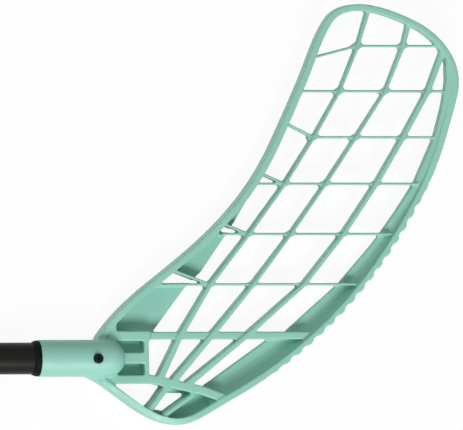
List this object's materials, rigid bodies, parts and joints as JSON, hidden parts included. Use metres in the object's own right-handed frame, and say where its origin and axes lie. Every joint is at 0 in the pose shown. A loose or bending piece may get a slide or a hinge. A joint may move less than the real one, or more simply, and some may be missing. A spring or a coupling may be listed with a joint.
{
  "type": "floorball stick",
  "caption": "Floorball stick: a straight tapered shaft with a wound grip and a hooked openwork blade on a screwed socket, for striking a light hollow ball.",
  "frame": {"origin": "centre of the flat face of the end cap, on the shaft's axis", "axes": "+X along the shaft from the end cap to the blade, +Y square to the shaft towards the blade's toe, +Z out of the blade's open side. The stick lies with the blade's back and the grip on the plane z = -14.45 mm"},
  "size_m": [1.1973, 0.2779, 0.0288],
  "materials": {
    "blade_plastic": "satin mint green polyethylene, as moulded",
    "shaft_composite": "satin black fibre composite",
    "sleeve_plastic": "matt black plastic",
    "screw_steel": "black oxide steel",
    "grip_foam": "matt black polyurethane tape",
    "finishing_tape": "black vinyl tape",
    "cap_plastic": "matt black plastic"
  },
  "bodies": {
    "root": {"blade": "blade_plastic", "shaft": "shaft_composite", "neck_sleeve": "sleeve_plastic", "blade_screw": "screw_steel", "shaft_tip_plug": "sleeve_plastic", "grip_tape": "grip_foam", "grip_finishing_tape": "finishing_tape", "end_cap": "cap_plastic"}
  },
  "joints": []
}
